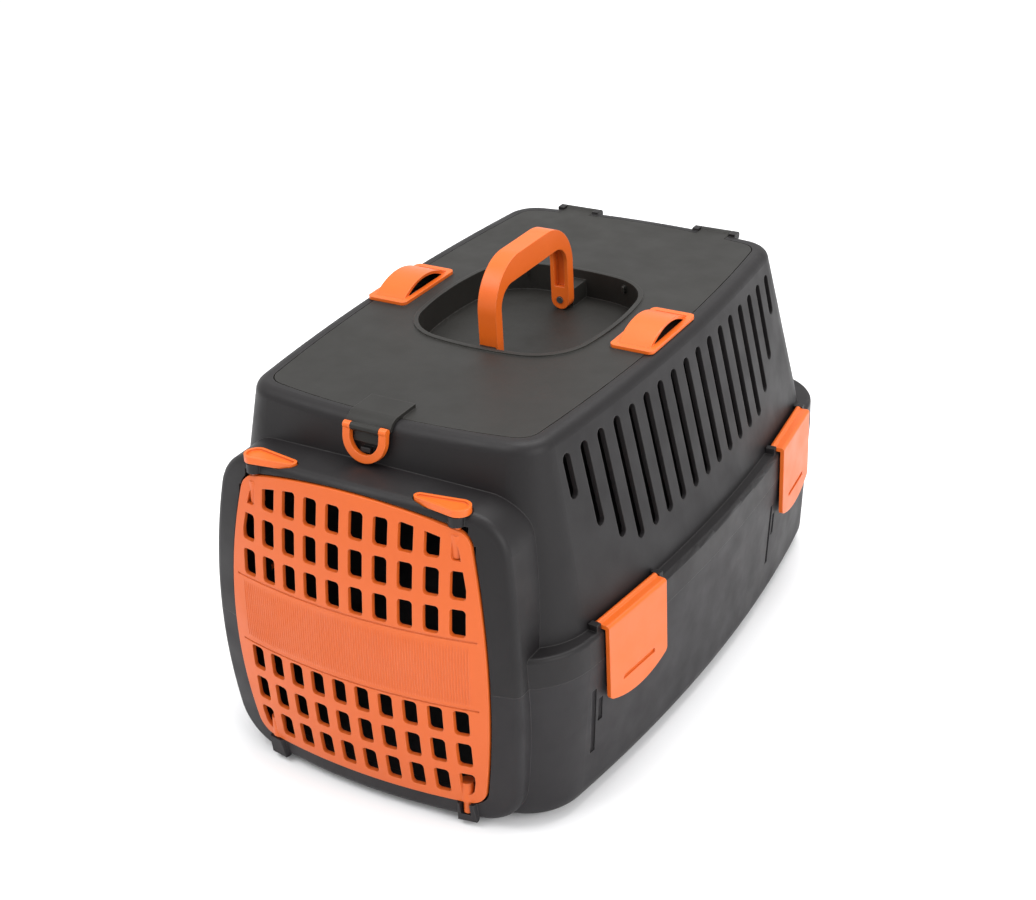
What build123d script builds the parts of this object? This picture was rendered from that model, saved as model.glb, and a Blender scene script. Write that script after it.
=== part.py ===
"""Plastic cat carrier: tub, hood, front door, opening top lid, clips and carry handle.

Millimetres, +Z up. The door faces -Y and X = 0 is the plane of symmetry. While it is built,
the middle of the top lid stands over Y = 0. At the end every piece moves along Y so that the
origin is on the floor under the middle of the whole object.
"""
from build123d import *
import math
import os

os.makedirs("parts", exist_ok=True)

# Shells: one wall for both, the height of the seam and of the flat top
wall = 2.6
foot_height = 3.0
seam_z = 109.0
rim_band = 21.0
rim_round = 3.0
top_z = 256.0
base_round = 14.0
top_round = 8.0

# Plan outlines: half width at mid-length and at the ends, half length at the corners,
# how far the ends bow out, and the corner radius
rim_half, rim_end, rim_length, rim_bow, rim_corner = 153.0, 134.0, 212.0, 14.0, 50.0
base_half, base_end, base_length, base_bow, base_corner = 145.0, 127.0, 211.0, 14.0, 42.0
waist_half, waist_end, waist_length, waist_bow, waist_corner = 144.5, 128.0, 200.0, 13.0, 45.0
crown_half, crown_end, crown_length, crown_bow, crown_corner = 117.0, 107.0, 176.0, 10.0, 24.0

# Door frame that stands proud of the front, seen from the front
frame_half = 116.0
frame_top = 229.5
frame_top_end = 223.5
frame_bottom = 4.0
frame_corner = 30.0
frame_plate = 7.5
frame_wall = 3.0
frame_round = 6.0

# The bulging front surface: foremost point, and its radii in plan and in side view
front_y = -239.5
front_peak_z = 87.0
front_plan_radius = 430.0
front_side_radius = 591.0

# Door
door_thick = 3.2
door_proud = 1.0
door_gap = 1.2
door_half = 97.0
door_top_half = 84.0
door_bottom_half = 88.0
door_top = 225.0
door_top_end = 214.0
door_bottom = 19.5
door_waist_z = 117.0
door_corner = 13.0
cell_columns = 10
cell_pitch = 17.5
cell_width = 10.5
cell_height = 18.6
cell_round = 2.6
row_pitch = 24.8
upper_rows_z = 181.4
lower_rows_z = 60.0
rows_per_group = 3
cell_margin = 6.5
band_line = 0.7

# Door hinge line, which leans back with the front, and the lift pins on it
hinge_x = 75.0
hinge_low = (-226.2, 30.0)
hinge_high = (-216.6, 210.0)
pin_radius = 2.5
pin_fit = 0.08
boss_radius = 4.6
boss_length = 15.0
nub_radius = 3.0
nub_length = 9.0
pin_grip = 9.0
fork_slack = 0.5
swing_slack = 0.4
seat_proud = 3.0
paddle_length = 31.0
paddle_wide = 8.0
paddle_narrow = 3.6
paddle_thick = 4.5
paddle_back = 2.5
paddle_seat_z = 225.2
paddle_scoop = 1.4

# Vent slots
vent_count = 17
vent_pitch = 18.75
vent_width = 8.0
vent_top_z = 242.0
vent_low_z = 158.0
vent_short = (54.0, 27.0, 10.0)

# Top lid
lid_half, lid_end, lid_length, lid_bow, lid_corner = 107.0, 97.0, 166.0, 10.0, 14.0
lid_thick = 2.6
lid_gap = 0.7
rest_gap = 0.3
lid_ledge = 5.0
ledge_thick = 2.6
rib_height = 5.0
rib_thick = 2.0
rib_length = 84.0
lid_rib_x = 40.0

# Recess for the handle
recess_half, recess_end, recess_length, recess_bow, recess_corner = 67.0, 58.0, 62.0, 9.0, 38.0
recess_y = 2.0
recess_depth = 19.0
recess_wall = 2.4
lip_width = 3.0
lip_height = 1.2

# Carry handle
handle_half = 53.0
handle_top = 306.0
handle_width = 14.0
handle_corner = 34.0
leg_depth = 8.0
grip_depth = 17.5
grip_inner_corner = 15.0
channel_wall = 2.8
strap_thick = 3.2
handle_pin_radius = 2.5
lug_half = 6.0
lug_gap = 0.5

# Belt guides at the sides of the lid
guide_inner = 80.4
guide_outer = 112.4
guide_half = 33.0
guide_rim = 4.2
guide_plate = 2.4
guide_round = 4.0
bridge_rise = 8.0
bridge_half = 28.5
bridge_thick = 2.0
guide_pocket = 5.0
guide_snap = 3.0

# Lid hinge at the rear
lid_axis_y = 184.5
lid_axis_z = top_z - 1.5
knuckle_radius = 3.0
knuckle_half = 12.0
knuckle_x = 58.0
knuckle_gap = 0.5
ear_thick = 5.0
lid_pin_radius = 1.5

# Front tab of the lid and its latch loop
tab_x = -4.0
tab_half = 16.5
tab_thick = 2.4
tab_drop = 13.0
tab_tongue = 9.4
loop_half = 16.0
loop_band = 5.2
loop_thick = 4.0
loop_drop = 22.0
loop_axis_drop = 4.5
loop_axis_out = 4.4
loop_barrel = 2.6
loop_pin_radius = 1.3
catch_half = 3.5
catch_room = 1.4
catch_reach = 4.2
catch_height = 3.0

# Side clips
clip_y = 129.0
clip_half = 33.0
clip_thick = 3.0
clip_gap = 0.4
clip_corner_z = 79.0
clip_middle_z = 71.0
clip_axis_in = 5.4
clip_barrel = 2.2
clip_pin_radius = 1.2
clip_pin_length = 3.0
clip_nose_half = 10.0
clip_nose_z = 82.5
clip_nose_height = 3.0
clip_nose_reach = 4.4
clip_groove_half = 18.0
clip_groove_width = 3.4
clip_groove_depth = 1.3

# Grooves pressed in the tub beside the clips
groove_width = 5.0
groove_depth = 1.3
long_groove = (43.0, 40.0, 90.0)
short_groove = (36.0, 62.0, 80.0)

# Feet under the tub
pad_length = 46.0
pad_width = 26.0
pad_x = 88.0
pad_y = 150.0

reach = 400.0
FRONT_CENTRE_Y = front_y + front_plan_radius


def plan(half, end, length, bow, corner, z, grow=0.0, y=0.0):
    """A closed plan outline at height z: bowed sides and ends, and round corners."""
    a, b, c = half + grow, end + grow, length + grow
    with BuildSketch(Plane((0, y, z))) as outline:
        with BuildLine():
            ThreePointArc((b, -c), (a, 0), (b, c))
            ThreePointArc((b, c), (0, c + bow), (-b, c))
            ThreePointArc((-b, c), (-a, 0), (-b, -c))
            ThreePointArc((-b, -c), (0, -c - bow), (b, -c))
        make_face()
        fillet(outline.vertices(), corner + grow)
    return outline.sketch


def rim_plan(z, grow=0.0):
    """Outline of the band at the seam."""
    return plan(rim_half, rim_end, rim_length, rim_bow, rim_corner, z, grow)


def base_plan(z, grow=0.0):
    """Outline of the tub at the floor."""
    return plan(base_half, base_end, base_length, base_bow, base_corner, z, grow)


def waist_plan(z, grow=0.0):
    """Outline of the upper shell where it leaves the band."""
    return plan(waist_half, waist_end, waist_length, waist_bow, waist_corner, z, grow)


def crown_plan(z, grow=0.0):
    """Outline of the upper shell at its flat top."""
    return plan(crown_half, crown_end, crown_length, crown_bow, crown_corner, z, grow)


def lid_plan(z, grow=0.0):
    """Outline of the top lid."""
    return plan(lid_half, lid_end, lid_length, lid_bow, lid_corner, z, grow)


def recess_plan(z, grow=0.0):
    """Outline of the recess under the handle."""
    return plan(recess_half, recess_end, recess_length, recess_bow, recess_corner, z, grow, recess_y)


def slab(sketch, height):
    """The sketch pulled up by height."""
    return extrude(sketch, amount=height)


def block(x0, x1, y0, y1, z0, z1):
    """A box between two corners."""
    return Pos((x0 + x1) / 2, (y0 + y1) / 2, (z0 + z1) / 2) * Box(x1 - x0, y1 - y0, z1 - z0)


def rod(start, end, radius):
    """A round bar from start to end."""
    way = Vector(*end) - Vector(*start)
    return extrude(Plane(start, z_dir=way) * Circle(radius), amount=way.length)


def front_prism(outline, back_y=-150.0, ahead_y=-270.0):
    """An outline drawn in X and Z, pulled along Y between two depths."""
    return extrude(Plane.XZ.offset(-back_y) * outline, amount=back_y - ahead_y)


def behind_front(depth):
    """Everything up to 120 mm behind the bulging front surface, moved back by depth."""
    radius = front_side_radius - depth
    centre_y = front_y + front_side_radius
    low, high = -30.0, 270.0

    def at(z):
        return centre_y - math.sqrt(radius ** 2 - (z - front_peak_z) ** 2)

    back = front_y + 120.0
    with BuildSketch(Plane.YZ) as side:
        with BuildLine():
            ThreePointArc((at(low), low), (at(front_peak_z), front_peak_z), (at(high), high))
            Polyline((at(high), high), (back, high), (back, low), (at(low), low))
        make_face()
    axis = Axis((0, FRONT_CENTRE_Y, 0), (0, 0, 1))
    swung = revolve(side.sketch, axis=axis, revolution_arc=50)
    return Pos(0, FRONT_CENTRE_Y, 0) * Rot(0, 0, -25) * Pos(0, -FRONT_CENTRE_Y, 0) * swung


def surface_y(x, z):
    """Depth of the front surface over a point of the front view."""
    side = front_y + front_side_radius - math.sqrt(front_side_radius ** 2 - (z - front_peak_z) ** 2)
    radius = FRONT_CENTRE_Y - side
    return FRONT_CENTRE_Y - math.sqrt(radius ** 2 - x ** 2)


def frame_outline(grow=0.0):
    """Front view of the door frame's outside, with an arched top."""
    half, top, end, low = frame_half + grow, frame_top + grow, frame_top_end + grow, frame_bottom - grow
    with BuildSketch() as outline:
        with BuildLine():
            ThreePointArc((-half + 12, end), (-half, door_waist_z), (-half + 8, low))
            Line((-half + 8, low), (half - 8, low))
            ThreePointArc((half - 8, low), (half, door_waist_z), (half - 12, end))
            ThreePointArc((half - 12, end), (0, top), (-half + 12, end))
        make_face()
        fillet(outline.vertices(), frame_corner + grow)
    return outline.sketch


def door_outline(grow=0.0):
    """Front view of the door, widest at its middle, with an arched top."""
    with BuildSketch() as outline:
        with BuildLine():
            low = door_bottom - grow
            ThreePointArc((door_bottom_half + grow, low), (door_half + grow, door_waist_z),
                          (door_top_half + grow, door_top_end + grow))
            ThreePointArc((door_top_half + grow, door_top_end + grow), (0, door_top + grow),
                          (-door_top_half - grow, door_top_end + grow))
            ThreePointArc((-door_top_half - grow, door_top_end + grow), (-door_half - grow, door_waist_z),
                          (-door_bottom_half - grow, low))
            Line((-door_bottom_half - grow, low), (door_bottom_half + grow, low))
        make_face()
        fillet(outline.vertices(), door_corner + grow)
    return outline.sketch


def hinge_point(side, z):
    """The point of the door's hinge line at height z, on the side -1 or +1."""
    share = (z - hinge_low[1]) / (hinge_high[1] - hinge_low[1])
    return (side * hinge_x, hinge_low[0] + share * (hinge_high[0] - hinge_low[0]), z)


def hinge_rod(side, z0, z1, radius):
    """A round bar on the door's hinge line between two heights."""
    return rod(hinge_point(side, z0), hinge_point(side, z1), radius)


def hinge_box(side, z0, z1, half, y0, y1):
    """A bar along the hinge line, from y0 to y1 across it."""
    low, high = Vector(*hinge_point(side, z0)), Vector(*hinge_point(side, z1))
    at = Plane(origin=low, x_dir=(1, 0, 0), z_dir=high - low)
    return at.location * block(-half, half, y0, y1, 0, (high - low).length)


def pin_head(side, z):
    """Frame of a lift pin's paddle: X inwards, Z up the hinge line."""
    way = Vector(*hinge_point(side, 200.0)) - Vector(*hinge_point(side, 100.0))
    return Plane(origin=hinge_point(side, z), x_dir=(-side, 0, 0), z_dir=way)


def paddle_leaf(side, grow=0.0):
    """Top view of a paddle: wide and round over the pin, narrow at its inner end."""
    wide, narrow = paddle_wide, paddle_narrow
    with BuildSketch() as leaf:
        with BuildLine():
            Line((0, -wide), (paddle_length - narrow, -narrow))
            ThreePointArc((paddle_length - narrow, -narrow), (paddle_length, 0),
                          (paddle_length - narrow, narrow))
            Line((paddle_length - narrow, narrow), (0, wide))
            ThreePointArc((0, wide), (-wide, 0), (0, -wide))
        make_face()
    sketch = Pos(0, -side * paddle_back) * leaf.sketch
    return offset(sketch, grow) if grow else sketch


def side_radius(half, end, length):
    """Radius of a bowed side from its half widths."""
    bow = half - end
    return (length ** 2 + bow ** 2) / (2 * bow)


def clip_plane(side, way):
    """Frame of a clip: X along the rim, Y outwards from the band's face, Z up."""
    radius = side_radius(rim_half, rim_end, rim_length)
    y = way * clip_y
    x = rim_half - radius + math.sqrt(radius ** 2 - y ** 2)
    outward = Vector(side * (x - rim_half + radius) / radius, y / radius, 0)
    along = outward.cross(Vector(0, 0, 1))
    return Plane(origin=(side * x, y, 0), x_dir=along, z_dir=(0, 0, 1))


CLIPS = {"front_left": (-1, -1), "front_right": (1, -1), "rear_left": (-1, 1), "rear_right": (1, 1)}
clip_axis_z = seam_z + rim_band + clip_gap + clip_barrel

# Outer forms
tub_form = loft([base_plan(foot_height), rim_plan(seam_z)], ruled=True)
tub_form = fillet(tub_form.edges().group_by(Axis.Z)[0], base_round)
tub_hollow = loft([base_plan(foot_height + wall, -wall), rim_plan(seam_z, -wall)], ruled=True)
tub_hollow = fillet(tub_hollow.edges().group_by(Axis.Z)[0], base_round - wall)

band_z = seam_z + rim_band
hood_form = loft([waist_plan(band_z - wall), crown_plan(top_z)], ruled=True)
hood_form = fillet(hood_form.edges().group_by(Axis.Z)[-1], top_round)
ledge_z = top_z - lid_thick - rest_gap
hood_hollow = loft([waist_plan(band_z - wall, -wall), crown_plan(ledge_z - ledge_thick, -wall)], ruled=True)
band_form = slab(rim_plan(seam_z), rim_band)
band_form = fillet(band_form.edges().group_by(Axis.Z)[-1], rim_round)
band_hollow = slab(rim_plan(seam_z, -wall), rim_band - wall)

frame_form = front_prism(frame_outline()) & behind_front(0)
front_face = frame_form.faces().sort_by(Axis.Y)[0]
frame_form = fillet(front_face.edges(), frame_round)
frame_hollow = front_prism(frame_outline(-frame_wall), ahead_y=-260.0) & behind_front(frame_plate)

# Door opening, with stop ledges behind the door at its top and bottom
stop_half = hinge_x - 13.0
stop_lap = 5.5
opening = front_prism(door_outline(door_gap))
front_pocket = opening - behind_front(door_thick - door_proud + rest_gap)
stops = front_prism(Pos(0, door_top_end + 5.0) * Rectangle(2 * stop_half, 20.0))
stops = stops - front_prism(Pos(0, door_top_end - 5.0) * Rectangle(2 * stop_half, 2 * stop_lap + 9))
low_stops = front_prism(Pos(0, door_bottom) * Rectangle(2 * stop_half, 2 * stop_lap))
door_way = opening - stops - low_stops + front_pocket

# Room for the door's edge behind its hinge line
axis_depth = 5.4
tail_wide = door_top_half + 6 - hinge_x
corner_low = door_bottom - door_gap
for side in (-1, 1):
    tail = tail_wide - 3
    big = math.hypot(tail, axis_depth) + swing_slack
    small = math.hypot(tail_wide / 2 - 2, axis_depth) + swing_slack
    door_way = door_way + hinge_rod(side, door_bottom + 7, door_bottom + 24, big)
    door_way = door_way + hinge_rod(side, corner_low + 0.4, door_bottom + 24, small)
    door_way = door_way + hinge_rod(side, door_top_end - 34, door_top_end - 7, big)
    door_way = door_way + hinge_rod(side, door_top_end - 34, door_top_end + 4.4, small)

below_seam = block(-reach, reach, -reach, reach, -10, seam_z)
above_seam = block(-reach, reach, -reach, reach, seam_z, reach)

# Lower shell
tub = tub_form + (frame_form & below_seam)
tub = tub - tub_hollow - (frame_hollow & below_seam)
tub = tub - door_way
for px in (-pad_x, pad_x):
    for py in (-pad_y, pad_y):
        with BuildSketch(Plane((px, py, 0))) as pad:
            RectangleRounded(pad_width, pad_length, 8)
        tub = tub + extrude(pad.sketch, amount=foot_height + wall / 2)
for side in (-1, 1):
    sill_high = door_bottom - door_gap
    seat = hinge_rod(side, foot_height + 1.0, sill_high, nub_radius + 4.0) & behind_front(-seat_proud)
    tub = tub + seat
    nub_low = door_bottom - nub_length - 1.0
    tub = tub - hinge_rod(side, nub_low, door_bottom + 6, nub_radius + pin_fit)
    if side > 0:
        tub = tub - hinge_box(side, nub_low, door_bottom + 6, nub_radius + fork_slack, -20, 0)
tub_skin = tub_form - loft([base_plan(foot_height, -groove_depth), rim_plan(seam_z, -groove_depth)], ruled=True)
for side, way in CLIPS.values():
    place = clip_plane(side, way).location
    for centre, low, high in (long_groove, short_groove):
        u = side * centre
        channel = place * block(u - groove_width / 2, u + groove_width / 2, -12, 6, low, high)
        tub = tub - (channel & tub_skin)
    slot_half = clip_nose_half + 1.0
    slot_low, slot_high = clip_nose_z - 1.0, clip_nose_z + clip_nose_height + 1.5
    tub = tub - place * block(-slot_half, slot_half, -12, 4, slot_low, slot_high)

# Upper shell
hood = hood_form + band_form + (frame_form & above_seam)
hood = hood - hood_hollow - band_hollow - (frame_hollow & above_seam)
for side in (-1, 1):
    hood = hood + hinge_rod(side, door_top_end - 20, paddle_seat_z - 0.5, pin_radius + 3.0)
hood = hood - door_way
hood = hood - slab(lid_plan(ledge_z, lid_gap), 20) - slab(lid_plan(ledge_z - 20, -lid_ledge), 30)
vents = []
for index in range(vent_count):
    y = (index - (vent_count - 1) / 2) * vent_pitch
    from_end = min(index, vent_count - 1 - index)
    low = vent_low_z + (vent_short[from_end] if from_end < len(vent_short) else 0.0)
    slot = SlotOverall(vent_top_z - low, vent_width, rotation=90)
    vents.append(extrude(Plane.YZ * Pos(y, (vent_top_z + low) / 2) * slot, amount=200, both=True))
hood = hood - vents
for side in (-1, 1):
    hood = hood - hinge_rod(side, door_top_end - 20, frame_top + 20, pin_radius + pin_fit)
    seat = pin_head(side, paddle_seat_z).location * slab(paddle_leaf(side, 0.8), 12)
    hood = hood - seat
for side, way in CLIPS.values():
    place = clip_plane(side, way).location
    for u in (-1, 1):
        inner = clip_half + clip_gap
        outer = inner + clip_pin_length + 1.4
        ear = block(min(u * inner, u * outer), max(u * inner, u * outer), -9.0, -clip_axis_in + 3.0,
                    band_z - 1.0, clip_axis_z + 2.0)
        hood = hood + place * ear
    bore = place * rod((-clip_half - 9, -clip_axis_in, clip_axis_z), (clip_half + 9, -clip_axis_in, clip_axis_z),
                       clip_pin_radius + pin_fit)
    solid_wall = place * block(-clip_half - clip_gap - clip_pin_length - 0.3,
                               clip_half + clip_gap + clip_pin_length + 0.3, -20, 20, 0, 400)
    hood = hood - (bore & solid_wall)

# Lid hinge: a notch in the rear edge for each knuckle, with an ear at each side
notch_half = knuckle_half + knuckle_gap
for side in (-1, 1):
    x = side * knuckle_x
    outer = notch_half + ear_thick
    cheeks = block(x - outer, x + outer, lid_axis_y - 14, lid_axis_y + 20, lid_axis_z - 8, top_z)
    hood = hood + (cheeks & hood_form)
    hood = hood - slab(lid_plan(ledge_z, lid_gap), 20)
    ears = rod((x - outer, lid_axis_y, lid_axis_z), (x + outer, lid_axis_y, lid_axis_z), knuckle_radius)
    ears = ears + block(x - outer, x + outer, lid_axis_y - 6, lid_axis_y, lid_axis_z - 6,
                        lid_axis_z + knuckle_radius)
    hood = hood + ears
    hood = hood - block(x - notch_half, x + notch_half, 160, lid_axis_y + 20, ledge_z, top_z + 20)
    hood = hood - block(x - notch_half, x + notch_half, lid_axis_y - knuckle_radius - 0.6, lid_axis_y + 20,
                        lid_axis_z - knuckle_radius - 0.6, top_z + 20)
    hood = hood - rod((x - outer + 1.5, lid_axis_y, lid_axis_z), (x + outer - 1.5, lid_axis_y, lid_axis_z),
                      lid_pin_radius + pin_fit)

# The front wall's slope, which the latch loop and its catch follow
wall_drop = top_z - band_z + wall
wall_run = (waist_length + waist_bow) - (crown_length + crown_bow)
slope = math.atan2(wall_run, wall_drop)
wall_top = Vector(tab_x, -(crown_length + crown_bow), top_z)
down = Vector(0, -math.sin(slope), -math.cos(slope))
out = Vector(0, -math.cos(slope), math.sin(slope))
loop_frame = Plane(origin=wall_top, x_dir=(1, 0, 0), z_dir=out)
catch_drop = loop_axis_drop + loop_drop - loop_band - catch_height - catch_room
hood = hood + loop_frame.location * block(-catch_half, catch_half, -catch_drop - catch_height, -catch_drop,
                                          -1.0, catch_reach)

# Top lid
lid = slab(lid_plan(top_z - lid_thick), lid_thick)
lid = lid + slab(recess_plan(top_z - recess_depth - recess_wall, recess_wall), recess_depth + recess_wall)
lid = lid + slab(recess_plan(top_z, lip_width), lip_height)
lid = lid - slab(recess_plan(top_z - recess_depth), recess_depth + 10)
floor_z = top_z - recess_depth
handle_axis_z = floor_z + handle_width / 2 + 0.5
for way in (-1, 1):
    near = way * (handle_half + lug_gap)
    far = recess_y + way * (recess_length + recess_bow + 1)
    lug = block(-lug_half, lug_half, min(near, far), max(near, far), floor_z - 1, handle_axis_z + 5.6)
    lid = lid + (lug & slab(recess_plan(floor_z - 1, recess_wall), 20))
    lid = lid - rod((0, way * 30, handle_axis_z), (0, far, handle_axis_z), handle_pin_radius + pin_fit)
for x in (-lid_rib_x, lid_rib_x):
    for way in (-1, 1):
        middle = recess_y + way * (recess_length + recess_bow + rib_length / 2 - 8)
        lid = lid + block(x - rib_thick / 2, x + rib_thick / 2, middle - rib_length / 2, middle + rib_length / 2,
                          top_z - lid_thick - rib_height, top_z - lid_thick)

# Pockets and snap holes for the belt guides
for side in (-1, 1):
    x0 = guide_inner + guide_rim
    x1 = lid_half - lid_ledge - 3.5
    tray = block(min(side * (x0 - wall), side * (x1 + 2)), max(side * (x0 - wall), side * (x1 + 2)),
                 -bridge_half - wall, bridge_half + wall, top_z - guide_pocket - 2.0, top_z - 0.5)
    lid = lid + tray
    guide_middle = side * (guide_inner + guide_outer) / 2
    with BuildSketch(Plane((guide_middle, 0, top_z))) as pad:
        RectangleRounded(guide_outer - guide_inner + 2, 2 * guide_half + 2, guide_round + 1)
    lid = lid + (slab(pad.sketch, rest_gap) & slab(lid_plan(top_z), 5))
    lid = lid - block(min(side * x0, side * x1), max(side * x0, side * x1), -bridge_half, bridge_half,
                      top_z - guide_pocket, top_z + 5)

# Front tab over the rounded edge
tab_zone = block(tab_x - tab_half, tab_x + tab_half, -300, -crown_length + 12, top_z - tab_drop, top_z + 20)


def grown_hood(grow):
    """The upper shell's outer form, grown by an even skin."""
    form = loft([waist_plan(band_z, grow), crown_plan(top_z + grow, grow)], ruled=True)
    return fillet(form.edges().group_by(Axis.Z)[-1], top_round + grow)


tab = (grown_hood(rest_gap + tab_thick) - grown_hood(rest_gap)) & tab_zone
tab_root = block(tab_x - tab_half, tab_x + tab_half, -lid_length - lid_bow + 1.5, -lid_length + 6,
                 top_z - 1, top_z + rest_gap + tab_thick)
barrel = loop_frame.location * rod((-loop_half + loop_band + 0.4, -loop_axis_drop, loop_axis_out),
                                   (loop_half - loop_band - 0.4, -loop_axis_drop, loop_axis_out), loop_barrel)
eye_room = block(-40, 40, -40, -loop_axis_drop, -5, 20) - block(-tab_tongue, tab_tongue, -50, 20, -10, 30)
eye_room = eye_room + rod((tab_tongue, -loop_axis_drop, loop_axis_out), (40, -loop_axis_drop, loop_axis_out),
                          loop_barrel + 0.4)
eye_room = eye_room + rod((-40, -loop_axis_drop, loop_axis_out), (-tab_tongue, -loop_axis_drop, loop_axis_out),
                          loop_barrel + 0.4)
lid = lid + tab + tab_root
lid = lid - (loop_frame.location * eye_room & tab_zone)
lid = lid + barrel
lid = lid - loop_frame.location * rod((-loop_half, -loop_axis_drop, loop_axis_out), (loop_half, -loop_axis_drop, loop_axis_out),
                                      loop_pin_radius + pin_fit)
for side in (-1, 1):
    x = side * knuckle_x
    arm = block(x - knuckle_half, x + knuckle_half, lid_length - 4, lid_axis_y, top_z - lid_thick, top_z)
    knuckle = rod((x - knuckle_half, lid_axis_y, lid_axis_z), (x + knuckle_half, lid_axis_y, lid_axis_z),
                  knuckle_radius)
    lid = lid + arm + knuckle
    lid = lid - rod((x - 20, lid_axis_y, lid_axis_z), (x + 20, lid_axis_y, lid_axis_z), lid_pin_radius + pin_fit)

# Door
door = front_prism(door_outline()) & (behind_front(-door_proud) - behind_front(door_thick - door_proud))
cells = []
limit = door_outline(-cell_margin)
for column in range(cell_columns):
    x = (column - (cell_columns - 1) / 2) * cell_pitch
    for group_z in (upper_rows_z, lower_rows_z):
        for row in range(rows_per_group):
            z = group_z + (row - (rows_per_group - 1) / 2) * row_pitch
            cell = (Pos(x, z) * RectangleRounded(cell_width, cell_height, cell_round)) & limit
            cells.append(front_prism(cell, ahead_y=-260.0))
door = door - cells
for z in (upper_rows_z - 1.5 * row_pitch + 1.0, lower_rows_z + 1.5 * row_pitch - 1.0):
    line = front_prism(Pos(0, z) * Rectangle(2 * door_half - 12, 1.4)) - behind_front(-door_proud + band_line)
    door = door - line
for side in (-1, 1):
    top_boss = hinge_rod(side, door_top_end - boss_length - 1.5, door_top_end - 1.5, boss_radius)
    low_boss = hinge_rod(side, door_bottom + 0.5, door_bottom + boss_length, boss_radius)
    nub = hinge_rod(side, door_bottom - nub_length, door_bottom + 4, nub_radius)
    door = door + top_boss + low_boss + nub
    bore_low = door_top_end - pin_grip - 3
    door = door - hinge_rod(side, bore_low, door_top_end + 20, pin_radius + pin_fit)
    if side > 0:
        door = door - hinge_box(side, bore_low, door_top_end + 20, pin_radius + fork_slack, 0, 20)

# Lift pins with their paddles
pin_bodies = {}
for name, side in (("left", -1), ("right", 1)):
    leaf = paddle_leaf(side)
    paddle = slab(leaf, paddle_thick)
    dish = Pos(0, 0, paddle_thick - paddle_scoop) * slab(offset(leaf, -1.8), 5)
    paddle = pin_head(side, paddle_seat_z + rest_gap).location * (paddle - dish)
    shank = hinge_rod(side, door_top_end - pin_grip - 1, paddle_seat_z + 2, pin_radius)
    pin_bodies[name] = paddle + shank

# Side clips
clip_bodies = {}
for name, (side, way) in CLIPS.items():
    inner, outer = clip_gap, clip_gap + clip_thick
    flap_top = band_z + clip_gap + clip_thick
    with BuildSketch(Plane.XZ) as face:
        with BuildLine():
            Polyline((-clip_half, clip_corner_z), (-clip_half, flap_top), (clip_half, flap_top),
                     (clip_half, clip_corner_z))
            ThreePointArc((clip_half, clip_corner_z), (0, clip_middle_z), (-clip_half, clip_corner_z))
        make_face()
        fillet(face.vertices().sort_by(Axis.Y)[:2], 4)
    plate = Pos(0, outer, 0) * extrude(face.sketch, amount=clip_thick)
    flap = block(-clip_half, clip_half, -clip_axis_in, outer, band_z + clip_gap, flap_top)
    body = plate + flap
    crest = body.edges().filter_by(Axis.X).sort_by(lambda e: -(e.center().Y + e.center().Z))[0]
    body = fillet(crest, 2.2)
    axis_start = (-clip_half, -clip_axis_in, clip_axis_z)
    axis_end = (clip_half, -clip_axis_in, clip_axis_z)
    body = body + rod(axis_start, axis_end, clip_barrel)
    body = body + rod((-clip_half - clip_pin_length, -clip_axis_in, clip_axis_z),
                      (clip_half + clip_pin_length, -clip_axis_in, clip_axis_z), clip_pin_radius)
    nose = block(-clip_nose_half, clip_nose_half, -clip_nose_reach, inner + 0.5, clip_nose_z,
                 clip_nose_z + clip_nose_height)
    body = body + nose
    groove = Pos(0, 0, clip_corner_z + 8) * Box(2 * clip_groove_half, 2 * clip_groove_depth, clip_groove_width)
    body = body - Pos(0, outer, 0) * groove
    clip_bodies[name] = clip_plane(side, way).location * body

# Carry handle
with BuildSketch(Plane.YZ) as arch:
    with Locations((0, (handle_top + handle_axis_z) / 2)):
        outline = Rectangle(2 * handle_half, handle_top - handle_axis_z)
    fillet(outline.vertices().sort_by(Axis.Y)[-2:], handle_corner)
with BuildSketch(Plane.YZ) as void:
    inner_top = handle_top - grip_depth
    with Locations((0, (inner_top + handle_axis_z - 40) / 2)):
        hole = Rectangle(2 * (handle_half - leg_depth), inner_top - handle_axis_z + 40)
    fillet(hole.vertices().sort_by(Axis.Y)[-2:], grip_inner_corner)
solid_arch = extrude(arch.sketch, amount=handle_width / 2, both=True)
for way in (-1, 1):
    near, far = way * (handle_half - leg_depth), way * handle_half
    solid_arch = solid_arch + rod((0, near, handle_axis_z), (0, far, handle_axis_z), handle_width / 2)
handle = solid_arch - extrude(void.sketch, amount=20, both=True)
with BuildSketch(Plane.YZ) as hollow:
    half = handle_half - strap_thick
    top = handle_top - strap_thick
    low = handle_axis_z + 10
    with Locations((0, (top + low) / 2)):
        core = Rectangle(2 * half, top - low)
    fillet(core.vertices().sort_by(Axis.Y)[-2:], handle_corner - strap_thick)
handle = handle - extrude(hollow.sketch, amount=handle_width / 2 - channel_wall, both=True)
for way in (-1, 1):
    handle = handle - rod((0, way * 30, handle_axis_z), (0, way * 70, handle_axis_z), handle_pin_radius + pin_fit)

handle_pins = {}
for name, way in (("front", -1), ("rear", 1)):
    start = way * (handle_half - leg_depth - 1.0)
    end = recess_y + way * (recess_length + recess_bow) - way * 0.8
    handle_pins[name] = rod((0, start, handle_axis_z), (0, end, handle_axis_z), handle_pin_radius)

lid_pins = {}
for name, side in (("left", -1), ("right", 1)):
    half = knuckle_half + knuckle_gap + ear_thick - 2.0
    x = side * knuckle_x
    lid_pins[name] = rod((x - half, lid_axis_y, lid_axis_z), (x + half, lid_axis_y, lid_axis_z), lid_pin_radius)

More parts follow.
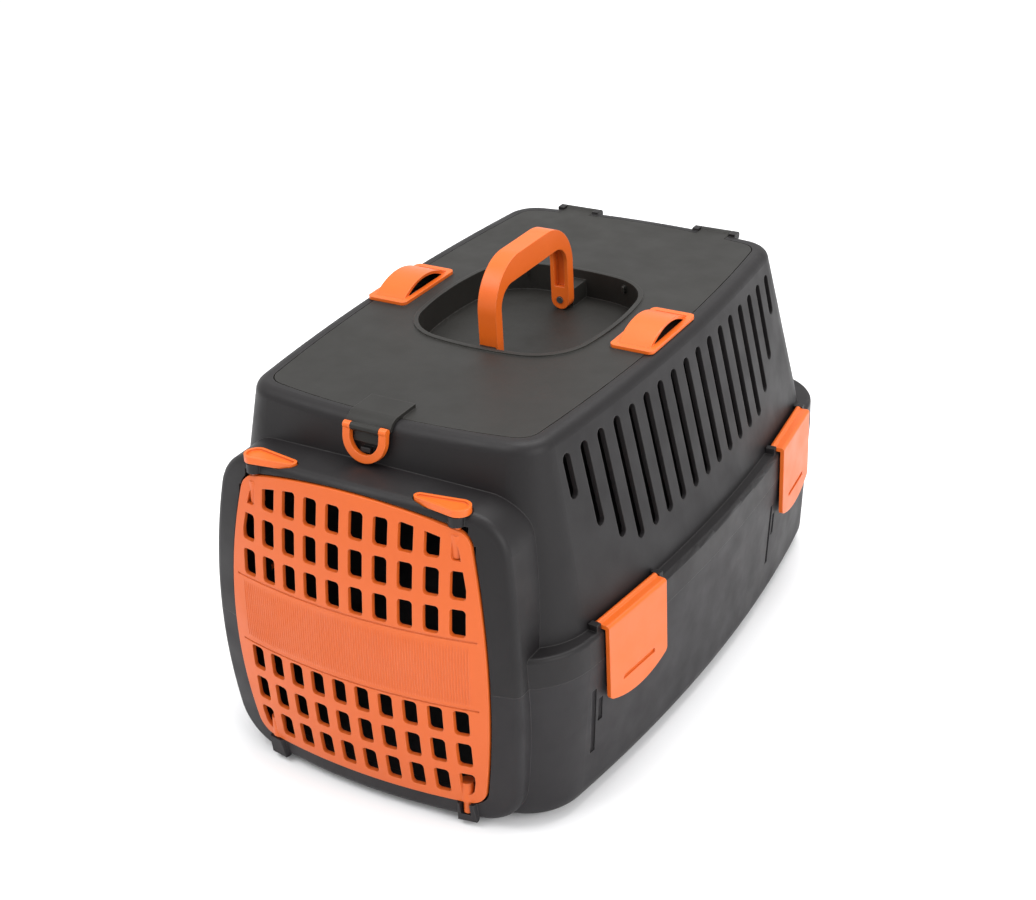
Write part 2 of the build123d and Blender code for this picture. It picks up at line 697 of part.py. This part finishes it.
# Belt guides: a rimmed plate on the lid with an arched bridge over its pocket
guides = {}
for name, side in (("left", -1), ("right", 1)):
    middle = (guide_inner + guide_outer) / 2
    with BuildSketch(Plane((side * middle, 0, top_z + rest_gap))) as ring:
        RectangleRounded(guide_outer - guide_inner, 2 * guide_half, guide_round)
        Rectangle(guide_outer - guide_inner - 2 * guide_rim, 2 * bridge_half, mode=Mode.SUBTRACT)
    guide = extrude(ring.sketch, amount=guide_plate)
    with BuildSketch(Plane.YZ) as bridge:
        with BuildLine():
            foot = top_z + rest_gap
            crest = foot + guide_plate + bridge_rise
            ThreePointArc((-bridge_half - 1, foot + 0.4), (0, crest), (bridge_half + 1, foot + 0.4))
            Line((bridge_half + 1, foot + 0.4), (bridge_half - 3.4, foot))
            ThreePointArc((bridge_half - 3.4, foot), (0, crest - bridge_thick), (-bridge_half + 3.4, foot))
            Line((-bridge_half + 3.4, foot), (-bridge_half - 1, foot + 0.4))
        make_face()
    width = guide_outer - guide_inner - 2 * guide_rim
    span = Pos(side * middle - width / 2, 0, 0) * extrude(bridge.sketch, amount=width)
    guides[name] = guide + span

# Latch loop on the front tab
with BuildSketch() as loop:
    with BuildLine():
        bottom = -loop_drop + loop_half
        Line((-loop_half, 0), (-loop_half, bottom))
        ThreePointArc((-loop_half, bottom), (0, -loop_drop), (loop_half, bottom))
        Polyline((loop_half, bottom), (loop_half, 0), (loop_half - loop_band, 0), (loop_half - loop_band, bottom))
        ThreePointArc((loop_half - loop_band, bottom), (0, -loop_drop + loop_band), (-loop_half + loop_band, bottom))
        Polyline((-loop_half + loop_band, bottom), (-loop_half + loop_band, 0), (-loop_half, 0))
    make_face()
latch = Pos(0, 0, -loop_thick / 2) * extrude(loop.sketch, amount=loop_thick)
for side in (-1, 1):
    eye_out = side * loop_half
    eye_in = side * (loop_half - loop_band)
    latch = latch + rod((eye_in, 0, 0), (eye_out, 0, 0), loop_barrel)
    latch = latch + rod((eye_out, 0, 0), (side * (loop_half - loop_band - 4.5), 0, 0), loop_pin_radius)
latch = loop_frame.location * Pos(0, -loop_axis_drop, loop_axis_out) * latch

# Pieces, moved along Y to stand over the origin
pieces = {
    "lower_shell": tub,
    "upper_shell": hood,
    "top_lid": lid,
    "front_door": door,
    "carry_handle": handle,
    "lid_latch_loop": latch,
    "door_pin_left": pin_bodies["left"],
    "door_pin_right": pin_bodies["right"],
    "handle_pivot_front": handle_pins["front"],
    "handle_pivot_rear": handle_pins["rear"],
    "lid_hinge_pin_left": lid_pins["left"],
    "lid_hinge_pin_right": lid_pins["right"],
    "belt_guide_left": guides["left"],
    "belt_guide_right": guides["right"],
}
for name, body in clip_bodies.items():
    pieces["side_clip_" + name] = body

foremost = front_y - door_proud
rearmost = rim_length + rim_bow
shift_y = -(foremost + rearmost) / 2
for name, piece in pieces.items():
    moved = Pos(0, shift_y, 0) * piece
    solids = moved.solids()
    if len(solids) == 1:
        moved = solids[0]
    else:
        print(name, "has", len(solids), "solids")
    export_step(moved, "parts/" + name + ".step")
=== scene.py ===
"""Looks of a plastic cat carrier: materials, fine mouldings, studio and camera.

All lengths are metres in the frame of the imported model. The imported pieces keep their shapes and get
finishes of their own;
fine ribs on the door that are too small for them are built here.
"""

import logging
import math
from dataclasses import dataclass, field
from enum import Enum

import bmesh
import bpy
from mathutils import Matrix, Vector


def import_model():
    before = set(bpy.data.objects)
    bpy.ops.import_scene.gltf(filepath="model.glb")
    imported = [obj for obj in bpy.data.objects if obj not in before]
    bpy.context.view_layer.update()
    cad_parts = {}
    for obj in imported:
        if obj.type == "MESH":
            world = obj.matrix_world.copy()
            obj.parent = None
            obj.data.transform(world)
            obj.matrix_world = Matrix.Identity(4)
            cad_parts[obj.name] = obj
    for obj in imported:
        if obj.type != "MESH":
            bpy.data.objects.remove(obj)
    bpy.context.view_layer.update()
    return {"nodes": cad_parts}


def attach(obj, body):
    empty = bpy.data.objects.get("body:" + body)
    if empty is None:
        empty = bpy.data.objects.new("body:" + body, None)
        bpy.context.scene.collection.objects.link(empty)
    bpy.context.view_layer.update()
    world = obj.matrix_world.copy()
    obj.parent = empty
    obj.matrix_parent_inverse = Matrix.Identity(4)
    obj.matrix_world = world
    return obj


LOG = logging.getLogger("carrier")
MM = 0.001
DOOR_BODY = "door"
# Millimetres from the middle of the lid to the middle of the whole carrier
SHIFT_Y = 7.25
# Edges sharper than these stay crisp
PACKED_CREASE = math.radians(32)
NEW_CREASE = math.radians(38)
# The floor lies this far under the pads, in metres
FLOOR_DROP = 0.0004
# How strongly the paler edges show: partly rubbing wear, partly a painted edge highlight
WEAR_AND_HIGHLIGHT_GAIN = 1.6


class Grain(Enum):
    """How the skin of a moulding was finished in its tool."""

    SPARK_ERODED = "spark_eroded"
    SATIN = "satin"
    DRAWN = "drawn"


@dataclass(frozen=True)
class Finish:
    """One real material and how it was made."""

    name: str
    colour: str
    shade: str
    # Colour of the paler edges: partly rubbing wear, partly a painted edge highlight
    edge_wear_and_highlight: str
    roughness: float
    grain: Grain
    grain_mm: float
    grain_depth: float
    cloud_mm: float = 60.0
    edge_mm: float = 0.9
    # How much of the paler edge colour shows: partly rubbing wear, partly a painted edge highlight
    wear_and_highlight_amount: float = 0.35
    specular: float = 0.5
    metallic: float = 0.0


# Spark-eroded mould: a dull, even skin with a soft sheen, and paler edges that are partly rubbing wear and
# partly a painted edge highlight
CHARCOAL = Finish(
    name="moulded_polypropylene_charcoal_eroded_grain",
    colour="#1C1A1B",
    shade="#171516",
    edge_wear_and_highlight="#565452",
    specular=0.24,
    roughness=0.46,
    grain=Grain.SPARK_ERODED,
    grain_mm=0.9,
    grain_depth=0.05,
)
# The same plastic, scuffed by floors: duller, with stronger paler edges, partly more rubbing and partly a
# painted edge highlight
CHARCOAL_FLOOR = Finish(
    name="moulded_polypropylene_charcoal_scuffed_base",
    colour="#201E20",
    shade="#1A181A",
    edge_wear_and_highlight="#5C5A5A",
    specular=0.27,
    roughness=0.52,
    grain=Grain.SPARK_ERODED,
    grain_mm=1.1,
    grain_depth=0.06,
    wear_and_highlight_amount=0.45,
)
# A slightly finer grain, and a warmer grey painted lighter than the walls: painted light from above falling
# on the top
CHARCOAL_LID_PAINTED_TOPLIGHT = Finish(
    name="moulded_polypropylene_charcoal_lid_grain_painted_toplight",
    # Lighter than the other charcoal finishes: painted light on the top
    colour="#22211E",
    shade="#1C1B19",
    edge_wear_and_highlight="#585652",
    specular=0.27,
    roughness=0.5,
    grain=Grain.SPARK_ERODED,
    grain_mm=0.8,
    grain_depth=0.06,
)
# Satin mould: clean colour with a broad highlight
ORANGE_DOOR = Finish(
    name="moulded_polypropylene_orange_door_satin",
    colour="#CC5E22",
    shade="#C2551C",
    edge_wear_and_highlight="#E98C60",
    specular=0.35,
    roughness=0.38,
    grain=Grain.SATIN,
    grain_mm=0.6,
    grain_depth=0.02,
    edge_mm=0.7,
)
# The same satin, a shade brighter on the small mouldings
ORANGE_TRIM = Finish(
    name="moulded_polypropylene_orange_trim_satin",
    colour="#D6621C",
    shade="#CA5816",
    edge_wear_and_highlight="#F09262",
    specular=0.35,
    roughness=0.36,
    grain=Grain.SATIN,
    grain_mm=0.6,
    grain_depth=0.02,
    edge_mm=0.8,
)
# Drawn wire: fine lines along Y, the way that the handle pivots lie
PIN_STEEL = Finish(
    name="drawn_steel_pivot_wire",
    colour="#8F9092",
    shade="#77787A",
    edge_wear_and_highlight="#C4C4C6",
    roughness=0.32,
    grain=Grain.DRAWN,
    grain_mm=0.4,
    grain_depth=0.02,
    edge_mm=0.2,
    metallic=1.0,
)


def linear(hex_colour: str) -> tuple[float, float, float, float]:
    """Turns an sRGB hex colour into a linear colour.

    Args:
        hex_colour: colour such as "#E06A36".

    Returns:
        Linear red, green and blue, and an alpha of one.
    """
    parts = [int(hex_colour[i : i + 2], 16) / 255 for i in (1, 3, 5)]
    rgb = [c / 12.92 if c <= 0.04045 else ((c + 0.055) / 1.055) ** 2.4 for c in parts]
    return (rgb[0], rgb[1], rgb[2], 1.0)


def add_node(tree: bpy.types.NodeTree, kind: str, inputs: dict | None = None, **settings) -> bpy.types.Node:
    """Adds a node, sets its properties and fills or links its inputs.

    Args:
        tree: the node tree.
        kind: the node's type name.
        inputs: socket name or index to a value, or to an output socket that is linked to it.
        settings: properties of the node.

    Returns:
        The new node.
    """
    node = tree.nodes.new(kind)
    for key, value in settings.items():
        setattr(node, key, value)
    for key, value in (inputs or {}).items():
        if isinstance(value, bpy.types.NodeSocket):
            tree.links.new(value, node.inputs[key])
        else:
            node.inputs[key].default_value = value
    return node


def mix_colour(tree: bpy.types.NodeTree, factor, first, second) -> bpy.types.NodeSocket:
    """Mixes two colours or sockets and returns the result's socket."""
    node = add_node(tree, "ShaderNodeMix", {0: factor, 6: first, 7: second}, data_type="RGBA")
    return node.outputs[2]


class MaterialLibrary:
    """Builds each finish once as a node material."""

    def __init__(self) -> None:
        """Starts with no materials."""
        self.made: dict[str, bpy.types.Material] = {}

    def get(self, finish: Finish) -> bpy.types.Material:
        """Returns the material of a finish, building it on first use.

        Args:
            finish: what the material looks like.

        Returns:
            The node material.
        """
        if finish.name not in self.made:
            self.made[finish.name] = self._build(finish)
        return self.made[finish.name]

    def _build(self, finish: Finish) -> bpy.types.Material:
        """Builds one finish: clouded colour, paler edges that are partly wear and partly a painted
        highlight, uneven gloss and grain.

        Args:
            finish: what the material looks like.

        Returns:
            The node material.
        """
        material = bpy.data.materials.new(finish.name)
        material.use_nodes = True
        tree = material.node_tree
        tree.nodes.clear()
        place = add_node(tree, "ShaderNodeTexCoord").outputs["Object"]
        if finish.grain is Grain.DRAWN:
            stretch = {"Vector": place, "Scale": (1.0, 0.08, 1.0)}
            place = add_node(tree, "ShaderNodeMapping", stretch).outputs[0]
        cloud = self._noise(tree, place, finish.cloud_mm, 3.0).outputs["Fac"]
        speck = self._noise(tree, place, finish.grain_mm * 5, 4.0).outputs["Fac"]
        colour = mix_colour(tree, cloud, linear(finish.colour), linear(finish.shade))
        fine = add_node(tree, "ShaderNodeMapRange", {0: speck, 1: 0.35, 2: 0.7, 3: 0.0, 4: 0.22}).outputs[0]
        colour = mix_colour(tree, fine, colour, linear(finish.shade))
        round_edge = add_node(tree, "ShaderNodeBevel", {"Radius": finish.edge_mm * MM}, samples=6)
        normal = add_node(tree, "ShaderNodeNewGeometry").outputs["Normal"]
        pair = {0: round_edge.outputs[0], 1: normal}
        bent = add_node(tree, "ShaderNodeVectorMath", pair, operation="DOT_PRODUCT").outputs["Value"]
        # Paler colour on rounded edges, broken into patches: partly rubbing wear, partly a painted edge
        # highlight
        edge = add_node(tree, "ShaderNodeMapRange", {0: bent, 1: 0.985, 2: 0.86, 3: 0.0, 4: 1.0}).outputs[0]
        edge_patches = self._noise(tree, place, 7.0, 2.0).outputs["Fac"]
        edge_wear_and_highlight = self._product(tree, edge, edge_patches)
        edge_wear_and_highlight = self._product(tree, edge_wear_and_highlight, finish.wear_and_highlight_amount * WEAR_AND_HIGHLIGHT_GAIN)
        colour = mix_colour(tree, edge_wear_and_highlight, colour, linear(finish.edge_wear_and_highlight))
        gloss = self._noise(tree, place, finish.cloud_mm * 0.4, 3.0).outputs["Fac"]
        low, high = finish.roughness - 0.05, finish.roughness + 0.08
        rough = add_node(tree, "ShaderNodeMapRange", {0: gloss, 1: 0.3, 2: 0.7, 3: low, 4: high}).outputs[0]
        cells = add_node(
            tree,
            "ShaderNodeTexVoronoi",
            {"Vector": place, "Scale": 1.0 / (finish.grain_mm * MM)},
            feature="SMOOTH_F1",
        ).outputs["Distance"]
        skin = add_node(
            tree,
            "ShaderNodeBump",
            {
                "Height": cells,
                "Strength": 0.35,
                "Distance": finish.grain_depth * MM,
                "Normal": round_edge.outputs[0],
            },
        ).outputs[0]
        wave = self._noise(tree, place, finish.cloud_mm * 0.8, 1.0).outputs["Fac"]
        skin = add_node(
            tree, "ShaderNodeBump", {"Height": wave, "Strength": 0.3, "Distance": 0.4 * MM, "Normal": skin}
        ).outputs[0]
        shader = add_node(
            tree,
            "ShaderNodeBsdfPrincipled",
            {
                "Base Color": colour,
                "Roughness": rough,
                "Normal": skin,
                "Metallic": finish.metallic,
                "Specular IOR Level": finish.specular,
            },
        )
        add_node(tree, "ShaderNodeOutputMaterial", {"Surface": shader.outputs[0]})
        return material

    @staticmethod
    def _product(tree: bpy.types.NodeTree, first, second) -> bpy.types.NodeSocket:
        """Multiplies two numbers or sockets and returns the result's socket."""
        return add_node(tree, "ShaderNodeMath", {0: first, 1: second}, operation="MULTIPLY").outputs[0]

    @staticmethod
    def _noise(tree: bpy.types.NodeTree, place, size_mm: float, detail: float) -> bpy.types.Node:
        """A noise whose spots are about size_mm across."""
        return add_node(
            tree, "ShaderNodeTexNoise", {"Vector": place, "Scale": 1.0 / (size_mm * MM), "Detail": detail}
        )


def new_piece(
    name: str, mesh: bmesh.types.BMesh, material: bpy.types.Material
) -> bpy.types.Object:
    """Turns a bmesh into a smooth-shaded object at the origin.

    Args:
        name: the piece's name.
        mesh: its mesh, which is freed.
        material: its material.

    Returns:
        The object, linked into the scene.
    """
    data = bpy.data.meshes.new(name)
    bmesh.ops.recalc_face_normals(mesh, faces=mesh.faces)
    mesh.to_mesh(data)
    mesh.free()
    data.materials.append(material)
    data.shade_smooth()
    data.set_sharp_from_angle(angle=NEW_CREASE)
    piece = bpy.data.objects.new(name, data)
    bpy.context.collection.objects.link(piece)
    return piece


@dataclass
class CarriedOver:
    """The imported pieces, which keep their shapes and get finishes and smooth shading."""

    library: MaterialLibrary
    finishes: dict[str, Finish] = field(
        default_factory=lambda: {
            "lower_shell": CHARCOAL_FLOOR,
            "upper_shell": CHARCOAL,
            "top_lid": CHARCOAL_LID_PAINTED_TOPLIGHT,
            "front_door": ORANGE_DOOR,
            "handle_pivot_front": PIN_STEEL,
            "handle_pivot_rear": PIN_STEEL,
            "lid_hinge_pin_left": PIN_STEEL,
            "lid_hinge_pin_right": PIN_STEEL,
        }
    )

    def dress(self, nodes: dict[str, bpy.types.Object]) -> None:
        """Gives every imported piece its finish.

        Args:
            nodes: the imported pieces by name.
        """
        for name, node in nodes.items():
            material = self.library.get(self.finishes.get(name, ORANGE_TRIM))
            node.data.materials.clear()
            node.data.materials.append(material)
            node.data.shade_smooth()
            node.data.set_sharp_from_angle(angle=PACKED_CREASE)
            LOG.info("dressed %s with %s", name, material.name)


@dataclass
class BulgingFront:
    """The double-bowed surface of the door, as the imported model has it."""

    shift_y: float
    front_y: float = -239.5
    peak_z: float = 87.0
    plan_radius: float = 430.0
    side_radius: float = 591.0
    proud: float = 1.0

    def point(self, x: float, z: float, lift: float = 0.0) -> Vector:
        """A point on the door's front.

        Args:
            x: millimetres across.
            z: millimetres above the floor.
            lift: millimetres in front of the surface.

        Returns:
            The point in metres.
        """
        ball = self.side_radius + self.proud + lift
        side = self.front_y + self.side_radius - math.sqrt(ball**2 - (z - self.peak_z) ** 2)
        turn = self.front_y + self.plan_radius - side
        y = self.front_y + self.plan_radius - math.sqrt(turn**2 - x**2) + self.shift_y
        return Vector((x, y, z)) * MM


@dataclass
class DoorRibs:
    """Fine upright ribs on the closed band across the middle of the door."""

    front: BulgingFront
    library: MaterialLibrary
    low_z: float = 98.8
    high_z: float = 142.6
    half: float = 86.0
    pitch: float = 1.9
    width: float = 1.1
    height: float = 0.32
    steps: int = 14
    sunk: float = 0.15

    def build(self) -> bpy.types.Object:
        """Builds all ribs as one piece that rides on the door.

        Returns:
            The ribs.
        """
        mesh = bmesh.new()
        count = int(2 * self.half / self.pitch) + 1
        for index in range(count):
            x = (index - (count - 1) / 2) * self.pitch
            self._rib(mesh, x)
        ribs = new_piece("door_band_ribs", mesh, self.library.get(ORANGE_DOOR))
        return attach(ribs, DOOR_BODY)

    def _rib(self, mesh: bmesh.types.BMesh, x: float) -> None:
        """Adds one rib: a grid bent into a low ridge with tapered ends, let into the door.

        Args:
            mesh: the mesh of all ribs.
            x: millimetres across to the rib's middle.
        """
        across = (-self.width / 2, -self.width * 0.2, self.width * 0.2, self.width / 2)
        grid = bmesh.ops.create_grid(mesh, x_segments=len(across) - 1, y_segments=self.steps, size=1.0)
        for vert in grid["verts"]:
            column = round((vert.co.x + 1) / 2 * (len(across) - 1))
            step = round((vert.co.y + 1) / 2 * self.steps)
            z = self.low_z + (self.high_z - self.low_z) * step / self.steps
            top = self.height if 0 < step < self.steps else -0.1
            lift = top if 0 < column < len(across) - 1 else -self.sunk
            vert.co = self.front.point(x + across[column], z, lift)


@dataclass
class PhotoCamera:
    """Camera at the photograph's place, as fitted to the model's landmarks."""

    azimuth: float = 31.879
    elevation: float = 28.373
    roll: float = -3.127
    distance: float = 944.446
    focal_px: float = 1751.214
    image_px: float = 1036.0
    target: tuple[float, float, float] = (138.133, -237.75, 297.012)

    def place(self) -> bpy.types.Object:
        """Creates the scene's camera.

        Returns:
            The camera.
        """
        data = bpy.data.cameras.new("photo_camera")
        data.sensor_fit = "HORIZONTAL"
        data.sensor_width = 36.0
        data.lens = self.focal_px / self.image_px * data.sensor_width
        data.clip_start = 0.01
        data.clip_end = 50.0
        camera = bpy.data.objects.new("photo_camera", data)
        bpy.context.collection.objects.link(camera)
        turn, rise = math.radians(self.azimuth), math.radians(self.elevation)
        back = Vector((math.sin(turn) * math.cos(rise), -math.cos(turn) * math.cos(rise), math.sin(rise)))
        right = Vector((math.cos(turn), math.sin(turn), 0.0))
        up = back.cross(right)
        tilt = math.radians(self.roll)
        across = math.cos(tilt) * right + math.sin(tilt) * up
        upward = -math.sin(tilt) * right + math.cos(tilt) * up
        axes = Matrix((across, upward, back)).transposed().to_4x4()
        eye = (Vector(self.target) + back * self.distance) * MM
        camera.matrix_world = Matrix.Translation(eye) @ axes
        bpy.context.scene.camera = camera
        return camera


@dataclass(frozen=True)
class Softbox:
    """One rectangular studio light."""

    name: str
    place: tuple[float, float, float]
    aim: tuple[float, float, float]
    size: float
    watts: float


@dataclass
class Studio:
    """A plain pale flat floor, white surroundings and soft lights."""

    library: MaterialLibrary
    lights: tuple[Softbox, ...] = (
        Softbox("key_softbox", (-0.7, -0.9, 1.7), (0.0, 0.0, 0.15), 1.1, 16.0),
        Softbox("top_softbox", (0.1, 0.5, 1.9), (0.0, 0.0, 0.2), 1.3, 28.0),
        Softbox("side_softbox", (1.6, -0.5, 0.9), (0.0, 0.0, 0.1), 1.0, 16.0),
    )

    def build(self) -> None:
        """Builds the floor, the lights and the surroundings."""
        self._floor()
        for light in self.lights:
            self._softbox(light)
        world = bpy.data.worlds.new("studio_air")
        world.use_nodes = True
        tree = world.node_tree
        tree.nodes.clear()
        air = add_node(tree, "ShaderNodeBackground", {"Color": (1.0, 1.0, 1.0, 1.0), "Strength": 0.95})
        add_node(tree, "ShaderNodeOutputWorld", {"Surface": air.outputs[0]})
        bpy.context.scene.world = world
        bpy.context.scene.view_settings.view_transform = "Standard"

    def _floor(self) -> None:
        """Builds the floor sheet."""
        mesh = bmesh.new()
        bmesh.ops.create_grid(mesh, x_segments=8, y_segments=8, size=6.0)
        data = bpy.data.meshes.new("studio_floor")
        mesh.to_mesh(data)
        mesh.free()
        material = bpy.data.materials.new("painted_studio_floor_matte")
        material.use_nodes = True
        tree = material.node_tree
        tree.nodes.clear()
        place = add_node(tree, "ShaderNodeTexCoord").outputs["Object"]
        spots = {"Vector": place, "Scale": 2.0, "Detail": 2.0}
        cloud = add_node(tree, "ShaderNodeTexNoise", spots).outputs["Fac"]
        colour = mix_colour(tree, cloud, linear("#F6F6F7"), linear("#F1F1F2"))
        shader = add_node(tree, "ShaderNodeBsdfPrincipled", {"Base Color": colour, "Roughness": 0.8})
        add_node(tree, "ShaderNodeOutputMaterial", {"Surface": shader.outputs[0]})
        data.materials.append(material)
        floor = bpy.data.objects.new("studio_floor", data)
        floor.location = (0.0, 0.0, -FLOOR_DROP)
        bpy.context.collection.objects.link(floor)

    def _softbox(self, light: Softbox) -> None:
        """Adds one light.

        Args:
            light: its place, aim, size and power.
        """
        data = bpy.data.lights.new(light.name, "AREA")
        data.shape = "SQUARE"
        data.size = light.size
        data.energy = light.watts
        lamp = bpy.data.objects.new(light.name, data)
        lamp.location = light.place
        way = Vector(light.aim) - Vector(light.place)
        lamp.rotation_euler = way.to_track_quat("-Z", "Y").to_euler()
        bpy.context.collection.objects.link(lamp)


def main() -> None:
    """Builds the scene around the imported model."""
    logging.basicConfig(level=logging.INFO)
    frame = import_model()
    PhotoCamera().place()
    library = MaterialLibrary()
    CarriedOver(library).dress(frame["nodes"])
    DoorRibs(BulgingFront(SHIFT_Y), library).build()
    Studio(library).build()


if __name__ == "__main__":
    main()
